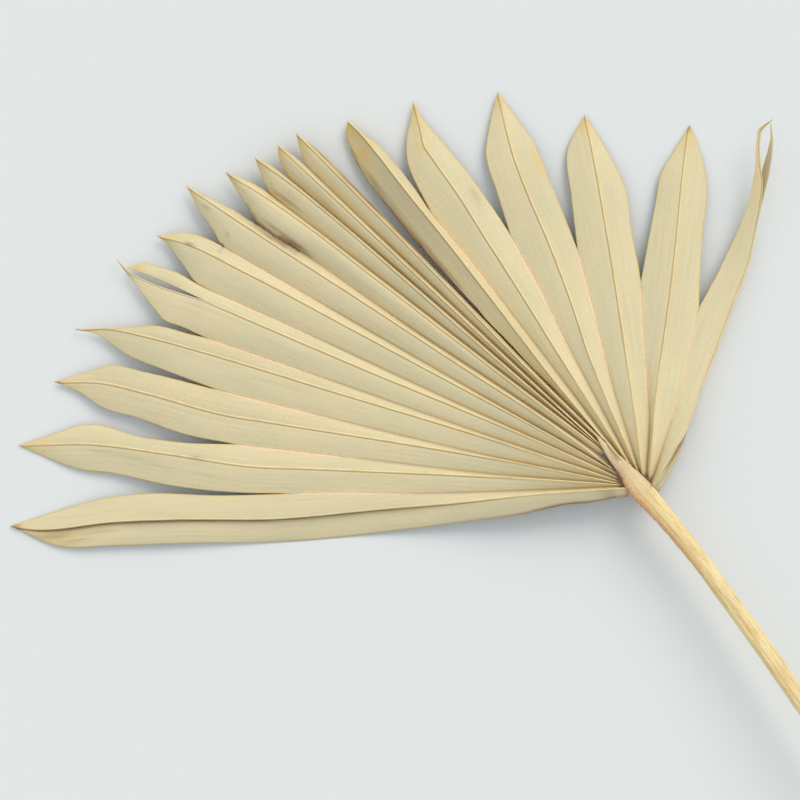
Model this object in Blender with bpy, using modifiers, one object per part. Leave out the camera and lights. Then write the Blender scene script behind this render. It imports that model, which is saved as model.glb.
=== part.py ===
"""Dried fan palm leaf, cut with its stalk and lying underside up.

The blade is a fan of seventeen segments. Each one is folded like a roof along its own rib, and
neighbours are joined along a seam, in the valley between two ribs, as far out as a notch. Past the
notch each segment is free and runs to a point. The ribs start from a short tapering costa, which is
the end of the stalk.

Metres, +Z up. The leaf lies on z = 0, and its box is centred on the origin. +Y runs from the stalk
to the blade. The tables below are in millimetres from the hub, where stalk and blade meet. A point
on the blade is (heading, reach): degrees from the leaf's middle line, positive to the left, and
millimetres from the hub.
"""

import math
from dataclasses import dataclass

import bmesh
import bpy
import numpy as np

MM = 0.001

# Blade
LAMINA = 0.4          # thickness of a segment
HALF_GAP = 0.16       # how far a solid's face stays short of its seam, so that neighbours keep a gap
HUB_HEIGHT = 15.0     # valleys above the surface, at the hub
SETTLED_REACH = 130.0 # reach at which the valleys stop falling
SIDE_VALLEY = 5.5     # height they fall to
CROWD_VALLEY = 3.0    # extra valley height where the pleats crowd together
CROWD_HEADING = 10.0
CROWD_SPREAD = 9.0
OUTER_VALLEY = 0.3    # height of the blade's two outer edges where they meet the surface
HUB_PLEAT = 2.4       # extra rib height near the hub, where the folds are steep
HUB_PLEAT_REACH = 110.0
MOST_INSET = 0.6      # largest share of a half's width that the gap may take
JOINED_ROWS = 8       # cross sections from the root to the notch
FREE_ROWS = 8         # cross sections from the notch to the tip

# Stalk and costa
AXIS_HEIGHT = 15.4    # axis of the stalk above the surface, at the hub
CUT_HEIGHT = 27.5     # the same at the cut end
SECTION_SIDES = 16

BLADE_COLOUR = (0.66, 0.57, 0.34, 1.0)
STALK_COLOUR = (0.70, 0.54, 0.27, 1.0)


@dataclass(frozen=True)
class Segment:
    """One folded segment. Its rib starts at root, (across, along) in mm from the hub."""

    root: tuple
    start: float          # reach at which the folded blade begins
    rib: tuple            # points out along the rib, the last one at the tip
    left: tuple           # points out along the free left margin, up to the tip
    right: tuple          # the same on the right
    pleat: float          # height of the rib over the edges, where the segment is widest
    tip_height: float
    split: tuple = ()     # where the rib is torn open: the left strip's and right strip's edges


@dataclass(frozen=True)
class Seam:
    """The valley between two neighbours. It starts at root, as a rib does, and ends at the notch."""

    root: tuple
    line: tuple


SEGMENTS = (
    Segment(root=(-6.7, 1.5), start=11, pleat=3.2, tip_height=0.6,
            rib=((60.9, 45), (60.7, 80), (60.2, 112), (59.9, 161), (58.7, 205), (58.4, 235),
                 (58.6, 268), (58.1, 281)),
            left=((81, 20), (73.4, 30), (70.1, 54), (68, 70), (65.8, 107), (64, 155), (61.9, 200),
                  (61, 236), (60.4, 260), (58.1, 281)),
            right=((55.9, 185), (55.4, 218), (55.8, 238), (57.3, 266), (58.1, 281))),
    Segment(root=(-5.2, 2.3), start=11, pleat=2.0, tip_height=0.7,
            rib=((52.1, 45), (51.6, 145), (51.6, 172), (50.5, 210), (50, 245), (50.6, 277)),
            left=((55.5, 180), (54.6, 205), (53, 236), (52.7, 249), (50.6, 277)),
            right=((49, 205), (48.7, 225), (47.9, 242), (48.1, 249), (49.6, 265), (50.6, 277))),
    Segment(root=(-5.4, 3.3), start=11, pleat=1.9, tip_height=2.2,
            rib=((44.6, 45), (44.3, 90), (44.6, 165), (44.6, 186), (43.6, 224), (43.4, 243),
                 (44.2, 264)),
            left=((47.9, 203), (46.6, 225), (46, 241), (44.8, 252), (44.2, 264)),
            right=((41.3, 225), (41.5, 242), (42.4, 249), (43.4, 257), (44.2, 264))),
    Segment(root=(-5.4, 4.8), start=11, pleat=2.0, tip_height=2.8,
            rib=((37.1, 60), (37.1, 140), (37.1, 200), (37.3, 228), (37.7, 246), (38.7, 260)),
            left=((40.5, 218), (39.9, 234), (38.6, 250), (38.7, 260)),
            right=((35.5, 209), (35.8, 225), (37.3, 241), (38.7, 260))),
    Segment(root=(-4.5, 6.0), start=12, pleat=2.4, tip_height=3.2,
            rib=((30.6, 50), (30.9, 90), (31.1, 126), (31.0, 209)),
            left=((35, 214), (34.8, 224), (33.3, 234), (31.6, 246), (30.7, 253)),
            right=((29.5, 216), (29.3, 225), (29.6, 234), (30, 242), (31, 247)),
            split=(((31.5, 236), (31.3, 246), (30.7, 253)), ((30.8, 236), (31, 247)))),
    Segment(root=(-3.5, 7.5), start=13, pleat=3.0, tip_height=3.4,
            rib=((24.3, 45), (25, 90), (25.3, 140), (25.5, 200), (25.8, 227), (26.6, 241)),
            left=((29.2, 218), (28, 226), (27, 234), (26.6, 241)),
            right=((24.2, 220), (24.9, 231), (26.6, 241))),
    Segment(root=(-4.2, 11.1), start=17, pleat=3.6, tip_height=4.0,
            rib=((18.4, 45), (19.7, 90), (20.1, 140), (20.4, 205), (20.4, 241)),
            left=((23.8, 215), (23, 220), (22, 229), (20.4, 241)),
            right=((19.5, 203), (19.7, 216), (20.4, 241))),
    Segment(root=(-2.9, 20.0), start=30, pleat=4.4, tip_height=5.0,
            rib=((13.3, 45), (14.4, 66), (15.1, 102), (15.5, 150), (15.7, 186), (16.1, 210),
                 (16.7, 230)),
            left=((19.2, 207), (18.5, 212), (17.5, 222), (16.7, 230)),
            right=((15.6, 213), (16.1, 222), (16.7, 230))),
    Segment(root=(-2.2, 20.0), start=34, pleat=5.2, tip_height=5.5,
            rib=((10.3, 42), (11.5, 66), (12, 90), (12.3, 140), (12.5, 180), (12.8, 203), (13.3, 224)),
            left=((15.4, 208), (15, 212), (14.2, 218), (13.3, 224)),
            right=((12.7, 214), (13.3, 224))),
    Segment(root=(-2.0, 22.0), start=34, pleat=5.4, tip_height=6.0,
            rib=((9, 55), (9.8, 90), (10.1, 126), (10.3, 180), (10.4, 220)),
            left=((12, 212), (11.2, 217), (10.4, 220)),
            right=((10, 210), (10.4, 220))),
    Segment(root=(-0.6, 25.0), start=31, pleat=6.0, tip_height=6.0,
            rib=((6.6, 68), (7.1, 90), (7.4, 135), (7.7, 180), (7.9, 218)),
            left=((9.4, 208), (8.6, 214), (7.9, 218)),
            right=((5.6, 68), (6.2, 90), (6.7, 120), (7.1, 170), (7.35, 203), (7.9, 218))),
    Segment(root=(1.5, 12.8), start=28, pleat=6.0, tip_height=3.2,
            rib=((1.7, 66), (1.5, 102), (1.6, 138), (1.8, 162), (1.9, 198), (2.2, 207)),
            left=((5.1, 68), (5.7, 90), (5.9, 120), (5.7, 158), (5.2, 182), (4, 198), (3.2, 204),
                  (2.2, 207)),
            right=((0.5, 165), (0.9, 189), (1.7, 199), (2.2, 207))),
    Segment(root=(3.3, 6.4), start=13, pleat=3.2, tip_height=2.6,
            rib=((-6.1, 66), (-5.5, 102), (-5.1, 126), (-4.8, 155), (-4.3, 176), (-5.2, 186),
                 (-6.2, 198)),
            left=((-0.6, 173), (-2.5, 184), (-4.5, 191), (-6.2, 198)),
            right=((-9.4, 133), (-8.2, 155), (-6.8, 176), (-6.1, 189), (-6.2, 198))),
    Segment(root=(4.5, 2.3), start=11, pleat=2.4, tip_height=2.0,
            rib=((-17.2, 60), (-17.4, 85), (-16.9, 114), (-16.2, 138), (-16.1, 154), (-17.1, 186)),
            left=((-11, 144), (-11.8, 160), (-14.5, 174), (-17.1, 186)),
            right=((-22.5, 112), (-20.8, 140), (-19.5, 163), (-17.9, 177), (-17.1, 186))),
    Segment(root=(5.7, 0.4), start=11, pleat=2.2, tip_height=1.4,
            rib=((-35.2, 42), (-32.5, 66), (-31.2, 90), (-30.3, 114), (-29.3, 150), (-28.8, 167)),
            left=((-24, 131), (-25, 152), (-28.8, 167)),
            right=((-38, 95), (-36, 112), (-34.5, 134), (-31, 154), (-28.8, 167))),
    Segment(root=(7.4, -2.4), start=12, pleat=2.4, tip_height=0.7,
            rib=((-50.6, 43), (-48.6, 66), (-47.4, 90), (-46.4, 114), (-45.6, 138), (-45.3, 163)),
            left=((-39.4, 102), (-40.9, 127), (-41.4, 139), (-43.6, 152), (-45.3, 163)),
            right=((-54.8, 95), (-52.3, 113), (-49.8, 141), (-46.5, 158), (-45.3, 163))),
    Segment(root=(8.6, -5.0), start=17, pleat=4.0, tip_height=14.0,
            rib=((-91, 21), (-80.6, 36), (-75, 45), (-69.5, 66), (-66, 90), (-64.4, 110), (-61.5, 133)),
            left=((-58.4, 104), (-58.6, 135), (-57.4, 151), (-56.1, 162), (-55.8, 169), (-57.2, 174.5)),
            right=((-96, 24), (-87, 30), (-79, 39), (-62.5, 75), (-61.5, 95), (-60.2, 133),
                   (-58.7, 153), (-57.9, 166), (-57, 172.5)),
            split=(((-59.7, 146), (-58, 154), (-56.6, 163), (-56.3, 169), (-57.2, 174.5)),
                   ((-59.8, 153), (-58.3, 166), (-57, 172.5)))),
)

SEAMS = (
    Seam((-6.0, 1.9), ((58.8, 45), (57, 101), (56, 135), (56, 154))),
    Seam((-5.3, 2.8), ((50.6, 68), (49.3, 112), (48.6, 179))),
    Seam((-5.4, 4.1), ((43.6, 68), (42.4, 117), (41.5, 191))),
    Seam((-5.0, 5.4), ((36.2, 68), (35.4, 146), (35.3, 202))),
    Seam((-4.0, 6.8), ((29.8, 90), (29.5, 158), (29.6, 209))),
    Seam((-3.9, 9.3), ((24.1, 90), (24.1, 211))),
    Seam((-3.6, 15.5), ((16.8, 45), (18.6, 90), (19.1, 117), (19.1, 179))),
    Seam((-2.6, 20.5), ((11.9, 45), (14.2, 90), (15, 146), (15.5, 202))),
    Seam((-2.2, 21.0), ((10.9, 74), (11.6, 117), (12.1, 165), (12.5, 205))),
    Seam((-1.3, 23.5), ((8.4, 66), (9.4, 117), (9.9, 180), (9.9, 203))),
    Seam((0.5, 25.0), ((3.2, 42),)),
    Seam((2.4, 9.6), ((-1, 72), (0.1, 124), (0.8, 150))),
    Seam((3.9, 4.4), ((-10.8, 68), (-10.5, 97), (-9.8, 124))),
    Seam((5.1, 1.4), ((-24.7, 41), (-23.2, 90), (-22.8, 107))),
    Seam((6.7, -1.2), ((-52.5, 27), (-45, 43), (-39.8, 72), (-38.5, 90))),
    Seam((9.0, -3.4), ((-69.3, 31), (-64, 50), (-60.7, 59), (-57, 84))),
)

# The two outer edges of the blade, which have no neighbour.
OUTER_LEFT_ROOT = (-9.8, -1.4)
OUTER_RIGHT_ROOT = (9.2, -9.5)
OUTER_NOTCH = 0.75    # share of the reach where an outer edge turns to its tip
# Where each outer edge meets the surface, where it leaves it again, and how far it then rises.
OUTER_LEFT_REST = (142.0, 152.0, 3.0)
OUTER_RIGHT_REST = (64.0, 90.0, 5.0)

# Stalk cross sections in mm: along the leaf from the hub, across, width and depth.
STALK_SECTIONS = (
    (-172, 2.4, 8.6, 7.4), (-120, 3.1, 7.9, 7.0), (-85, 3.8, 7.8, 6.8), (-53, 3.9, 7.8, 6.6),
    (-29, 3.0, 8.2, 6.6), (-13, 1.7, 9.4, 6.6), (-5, 1.0, 10.2, 6.2), (1, 0.7, 9.2, 5.6),
    (6, 0.6, 7.0, 5.0), (11, 0.0, 5.2, 4.2), (17, -0.7, 3.6, 3.2), (22, -0.8, 2.2, 2.4),
    (26, -0.8, 1.0, 1.4),
)


def polar_to_plan(heading, reach):
    """A blade point as (across, along) in mm."""
    angle = math.radians(heading)
    return (-reach * math.sin(angle), reach * math.cos(angle))


def smooth_step(value):
    value = np.clip(value, 0.0, 1.0)
    return value * value * (3.0 - 2.0 * value)


def monotone_curve(knots, values, wanted):
    """Piecewise cubic through the knots that never overshoots them."""
    knots, values = np.asarray(knots, float), np.asarray(values, float)
    steps = np.diff(knots)
    slopes = np.diff(values) / steps
    tangents = np.empty_like(values)
    tangents[0], tangents[-1] = slopes[0], slopes[-1]
    for k in range(1, len(values) - 1):
        before, after = slopes[k - 1], slopes[k]
        if before * after <= 0.0:
            tangents[k] = 0.0
        else:
            weight_a = 2.0 * steps[k] + steps[k - 1]
            weight_b = steps[k] + 2.0 * steps[k - 1]
            tangents[k] = (weight_a + weight_b) / (weight_a / before + weight_b / after)
    span = np.clip(np.searchsorted(knots, wanted) - 1, 0, len(steps) - 1)
    t = (wanted - knots[span]) / steps[span]
    return ((1 + 2 * t) * (1 - t) ** 2 * values[span] + t * (1 - t) ** 2 * steps[span] * tangents[span]
            + t * t * (3 - 2 * t) * values[span + 1]
            + t * t * (t - 1) * steps[span] * tangents[span + 1])


class PlanLine:
    """A line out across the blade, read by reach."""

    def __init__(self, root, points):
        plan = [root] + [polar_to_plan(*point) for point in points]
        self.reaches = [math.hypot(*root)] + [reach for _, reach in points]
        self.across = [p[0] for p in plan]
        self.along = [p[1] for p in plan]

    def at(self, reaches):
        return np.stack([monotone_curve(self.reaches, self.across, reaches),
                         monotone_curve(self.reaches, self.along, reaches)], axis=1)


def valley_height(plan, reaches):
    """Height of the valleys: raised at the hub, settled further out, higher where pleats crowd."""
    heading = np.degrees(np.arctan2(-plan[:, 0], plan[:, 1]))
    crowd = np.exp(-((heading - CROWD_HEADING) / CROWD_SPREAD) ** 2)
    settled = SIDE_VALLEY + CROWD_VALLEY * crowd
    return HUB_HEIGHT + (settled - HUB_HEIGHT) * smooth_step(reaches / SETTLED_REACH)


def edge_lines(index, side):
    """The seam and the free margin that make one edge of a segment, and the reach of its notch."""
    segment = SEGMENTS[index]
    margin = segment.left if side < 0 else segment.right
    neighbour = index - 1 if side < 0 else index
    if 0 <= neighbour < len(SEAMS):
        seam = SEAMS[neighbour]
        notch = seam.line[-1]
        return PlanLine(seam.root, seam.line), PlanLine(polar_to_plan(*notch), margin), notch[1]
    outer = PlanLine(OUTER_LEFT_ROOT if side < 0 else OUTER_RIGHT_ROOT, margin)
    return outer, outer, OUTER_NOTCH * margin[-1][1]


def section_reaches(start, notch, tip):
    """Reaches of the cross sections, closer together towards the tip."""
    joined = np.linspace(start, notch, JOINED_ROWS)
    free = notch + (tip - notch) * np.sin(np.linspace(0, math.pi / 2, FREE_ROWS + 1))[1:]
    return np.concatenate([joined, free])


def half_reaches(index, side):
    """Cross sections of one half. Both halves share them as far as the rib is whole."""
    segment = SEGMENTS[index]
    notch = min(edge_lines(index, -1)[2], edge_lines(index, 1)[2])
    whole_to = segment.rib[-1][1]
    if not segment.split:
        return section_reaches(segment.start, notch, whole_to)
    strip = segment.split[0 if side < 0 else 1]
    whole = np.linspace(segment.start, whole_to, JOINED_ROWS + 3)
    torn = section_reaches(whole_to, 0.5 * (whole_to + strip[-1][1]), strip[-1][1])[1:]
    return np.concatenate([whole, torn])


def flank(index, side, reaches, tip_reach):
    """Plan and height of one edge of a segment, which ends at tip_reach."""
    seam, margin, notch = edge_lines(index, side)
    joined = seam.at(np.minimum(reaches, notch))
    loose = margin.at(np.clip(reaches, notch, margin.reaches[-1]))
    plan = np.where((reaches < notch)[:, None], joined, loose)
    free = smooth_step((reaches - notch) / (tip_reach - notch)) ** 2.2
    if seam is margin:
        settled, lifting, lift = OUTER_LEFT_REST if side < 0 else OUTER_RIGHT_REST
        hanging = (OUTER_VALLEY + (HUB_HEIGHT - OUTER_VALLEY) * (1 - smooth_step(reaches / settled))
                   + lift * smooth_step((reaches - lifting) / 60.0))
    else:
        hanging = valley_height(plan, reaches)
    height = hanging * (1 - free) + SEGMENTS[index].tip_height * free
    return plan, height


def rib_line(index, side, reaches, edge_tip):
    """Plan and height of the rib, or past a split of the torn edge that one half keeps."""
    segment = SEGMENTS[index]
    whole_to = segment.rib[-1][1]
    plan = PlanLine(segment.root, segment.rib).at(np.minimum(reaches, whole_to))
    left, left_height = flank(index, -1, reaches, edge_tip)
    right, right_height = flank(index, 1, reaches, edge_tip)
    widths = np.linalg.norm(left - right, axis=1)
    torn = reaches > whole_to
    widest = widths[~torn].max()
    height = 0.5 * (left_height + right_height) + segment.pleat * np.sqrt(widths / widest)
    height += HUB_PLEAT * (1 - smooth_step(reaches / HUB_PLEAT_REACH)) * smooth_step(widths / 6.0)
    if torn.any():
        strip = PlanLine(polar_to_plan(*segment.rib[-1]), segment.split[0 if side < 0 else 1])
        plan[torn] = strip.at(reaches[torn])
        height[torn] = np.linspace(height[~torn][-1], segment.tip_height, torn.sum() + 1)[1:]
    return plan, height


def half_sheet(index, side):
    """Rows of (x, y, z) from the rib to the edge of one half of a segment, in mm."""
    segment = SEGMENTS[index]
    reaches = half_reaches(index, side)
    edge_tip = max(segment.left[-1][1], segment.right[-1][1])
    inner, rib_height = rib_line(index, side, reaches, edge_tip)
    outer, outer_height = flank(index, side, reaches, reaches[-1])
    rib = np.column_stack([inner, rib_height])
    edge = np.column_stack([outer, outer_height])
    run = np.maximum(np.linalg.norm(outer - inner, axis=1), 1e-6)
    steepness = np.abs(rib_height - outer_height) / np.hypot(run, rib_height - outer_height)
    inset = HALF_GAP + 0.5 * LAMINA * steepness
    edge += (rib - edge) * np.minimum(inset / run, MOST_INSET)[:, None]
    return [[rib[k], 0.5 * (rib[k] + edge[k]), edge[k]] for k in range(len(reaches))]


def add_sheet(mesh, rows, flip):
    """Join the rows of points with faces whose normals point up."""
    grid = [[mesh.verts.new(point * MM) for point in row] for row in rows]
    for lower, upper in zip(grid, grid[1:]):
        for k in range(len(lower) - 1):
            corners = [lower[k], lower[k + 1], upper[k + 1], upper[k]]
            mesh.faces.new(corners[::-1] if flip else corners)


def make_material(name, colour, roughness):
    material = bpy.data.materials.new(name)
    material.use_nodes = True
    shader = material.node_tree.nodes["Principled BSDF"]
    shader.inputs["Base Color"].default_value = colour
    shader.inputs["Roughness"].default_value = roughness
    shader.inputs["Metallic"].default_value = 0.0
    return material


def add_object(name, mesh, collection, parent, material):
    data = bpy.data.meshes.new(name)
    mesh.to_mesh(data)
    mesh.free()
    data.materials.append(material)
    obj = bpy.data.objects.new(name, data)
    collection.objects.link(obj)
    obj.parent = parent
    return obj


def make_segment(index, collection, parent):
    """Two half sheets that share the rib, thickened to a closed shell."""
    name = f"segment_{index + 1:02d}"
    mesh = bmesh.new()
    add_sheet(mesh, half_sheet(index, -1), flip=False)
    add_sheet(mesh, half_sheet(index, 1), flip=True)
    bmesh.ops.remove_doubles(mesh, verts=mesh.verts, dist=0.001 * MM)
    obj = add_object(name, mesh, collection, parent, make_material(name, BLADE_COLOUR, 0.6))
    solidify = obj.modifiers.new("lamina", "SOLIDIFY")
    solidify.thickness = LAMINA * MM
    solidify.offset = 0.0
    return obj


def stalk_height(along):
    """Height of the stalk's axis: level over the blade, then rising to the cut end."""
    away = max(along / STALK_SECTIONS[0][0], 0.0)
    return AXIS_HEIGHT + (CUT_HEIGHT - AXIS_HEIGHT) * away ** 1.15


def make_stalk(collection, parent):
    """Flattened oval sections lofted from the cut end to the point of the costa."""
    mesh = bmesh.new()
    rings = []
    for along, across, width, depth in STALK_SECTIONS:
        ring = []
        for k in range(SECTION_SIDES):
            turn = 2.0 * math.pi * k / SECTION_SIDES
            x = across + 0.5 * width * math.cos(turn)
            z = stalk_height(along) + 0.5 * depth * math.sin(turn)
            ring.append(mesh.verts.new((x * MM, along * MM, z * MM)))
        rings.append(ring)
    for near, far in zip(rings, rings[1:]):
        for k in range(SECTION_SIDES):
            following = (k + 1) % SECTION_SIDES
            mesh.faces.new((near[k], far[k], far[following], near[following]))
    mesh.faces.new(rings[0])
    mesh.faces.new(rings[-1][::-1])
    bmesh.ops.recalc_face_normals(mesh, faces=mesh.faces)
    obj = add_object("petiole", mesh, collection, parent, make_material("petiole", STALK_COLOUR, 0.5))
    obj.data.shade_smooth()
    return obj


def stand_on_origin(parent, parts):
    """Move the whole leaf so that its box stands on z = 0, centred on the origin."""
    bpy.context.view_layer.update()
    graph = bpy.context.evaluated_depsgraph_get()
    corners = []
    for part in parts:
        shape = part.evaluated_get(graph)
        corners += [shape.matrix_world @ vertex.co for vertex in shape.data.vertices]
    lows = [min(c[axis] for c in corners) for axis in range(3)]
    highs = [max(c[axis] for c in corners) for axis in range(3)]
    parent.location = (-0.5 * (lows[0] + highs[0]), -0.5 * (lows[1] + highs[1]), -lows[2])
    bpy.context.view_layer.update()


def main():
    for obj in list(bpy.data.objects):
        bpy.data.objects.remove(obj)
    collection = bpy.data.collections.new("fan_palm_leaf")
    bpy.context.scene.collection.children.link(collection)
    parent = bpy.data.objects.new("leaf", None)
    collection.objects.link(parent)
    parts = [make_segment(index, collection, parent) for index in range(len(SEGMENTS))]
    parts.append(make_stalk(collection, parent))
    stand_on_origin(parent, parts)


main()
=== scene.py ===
import math
from dataclasses import dataclass

import bmesh
import bpy
import numpy as np
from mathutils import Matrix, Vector


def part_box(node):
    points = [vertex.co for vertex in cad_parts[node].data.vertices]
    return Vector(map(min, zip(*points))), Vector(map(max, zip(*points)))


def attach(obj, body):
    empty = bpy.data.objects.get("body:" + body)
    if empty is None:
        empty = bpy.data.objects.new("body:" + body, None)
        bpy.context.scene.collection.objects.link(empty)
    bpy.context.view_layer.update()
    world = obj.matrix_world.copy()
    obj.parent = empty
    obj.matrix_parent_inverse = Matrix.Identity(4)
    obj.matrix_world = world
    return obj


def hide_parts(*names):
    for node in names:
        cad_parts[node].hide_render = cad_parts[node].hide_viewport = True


# The looks of a dried fan palm leaf, lying underside up. The tables and curves of the blade and the
# stalk repeat those of the part's source, in mm from the hub, where the stalk meets the blade. A
# blade point is (heading, reach): degrees from the leaf's middle line, positive to the left, and
# mm from the hub.

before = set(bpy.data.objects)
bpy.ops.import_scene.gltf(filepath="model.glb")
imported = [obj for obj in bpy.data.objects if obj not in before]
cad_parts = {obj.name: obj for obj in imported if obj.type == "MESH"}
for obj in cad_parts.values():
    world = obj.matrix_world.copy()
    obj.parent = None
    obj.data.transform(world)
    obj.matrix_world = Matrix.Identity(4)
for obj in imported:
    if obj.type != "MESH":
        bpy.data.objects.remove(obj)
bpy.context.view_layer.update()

MM = 0.001

# Camera, straight down
VIEW_DISTANCE = 2.4
VIEW_WIDTH = 0.36             # width of the view at VIEW_LEVEL
VIEW_LEVEL = 8.0
VIEW_CENTRE = (-62.8, 91.2)   # mm from the hub
VIEW_TURN = -36.0

# Light
DOME = (0.90, 0.955, 1.0, 1.0)
DOME_STRENGTH = 0.82
KEY = (1.0, 0.93, 0.84)
KEY_STRENGTH = 1.65
KEY_HEADING = 24.0            # degrees from +X towards +Y
KEY_ELEVATION = 37.0
KEY_SOFTNESS = 36.0

FLOOR = (0.728, 0.745, 0.737, 1.0)
LEAF_GREEN = (0.65, 0.572, 0.35, 1.0)
LEAF_STRAW = (0.71, 0.60, 0.365, 1.0)
LEAF_LIGHT = (0.82, 0.72, 0.49, 1.0)
LEAF_DARK = (0.50, 0.41, 0.225, 1.0)
RIB = (0.88, 0.69, 0.36, 1.0)
RIB_DARK = (0.78, 0.57, 0.27, 1.0)
# FURROW_SHADE is painted shadow on the left flank of each rib.
FURROW_SHADE = (0.36, 0.25, 0.11, 1.0)
SEAM_ORANGE = (0.85, 0.62, 0.38, 1.0)
# SEAM_SHADE_AND_SPECK_BROWN is both the painted shade along the seams towards the hub and the colour of the
# small brown specks.
SEAM_SHADE_AND_SPECK_BROWN = (0.42, 0.27, 0.12, 1.0)
GOLDEN = (0.70, 0.50, 0.17, 1.0)
# STAIN_AND_SHADE colours the brown marks: real stains, and painted shade in a few creases and on two lit
# halves.
STAIN_AND_SHADE = (0.25, 0.14, 0.06, 1.0)
STALK_STRAW = (0.77, 0.56, 0.245, 1.0)
STALK_PALE = (0.87, 0.70, 0.37, 1.0)
STALK_STREAK = (0.42, 0.26, 0.09, 1.0)
COSTA_TAN = (0.74, 0.54, 0.35, 1.0)
STALK_RAW = (0.55, 0.24, 0.11, 1.0)
FIBRE_PURPLE = (0.13, 0.07, 0.08, 1.0)
FIBRE_BROWN = (0.28, 0.13, 0.07, 1.0)

# Blade
HUB_HEIGHT = 15.0     # valleys above the surface, at the hub
SETTLED_REACH = 130.0  # reach at which the valleys stop falling
SIDE_VALLEY = 5.5     # height they fall to
CROWD_VALLEY = 3.0    # extra valley height where the pleats crowd together
CROWD_HEADING = 10.0
CROWD_SPREAD = 9.0
OUTER_VALLEY = 0.3    # height of the blade's two outer edges where they meet the surface
HUB_PLEAT = 2.4       # extra rib height near the hub, where the folds are steep
HUB_PLEAT_REACH = 110.0
AXIS_HEIGHT = 15.4    # axis of the stalk above the surface, at the hub
CUT_HEIGHT = 27.5     # the same at the cut end


@dataclass(frozen=True)
class Segment:
    """One folded segment. Its rib starts at root, (across, along) in mm from the hub."""

    root: tuple
    rib: tuple            # points out along the rib, the last one at the tip
    left: tuple           # points out along the free left margin, up to the tip
    right: tuple          # the same on the right
    pleat: float          # height of the rib over the edges, where the segment is widest
    tip_height: float
    split: tuple = ()     # where the rib is torn open: the left strip's and right strip's edges


@dataclass(frozen=True)
class Seam:
    """The valley between two neighbours. It starts at root, as a rib does, and ends at the notch."""

    root: tuple
    line: tuple


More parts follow.
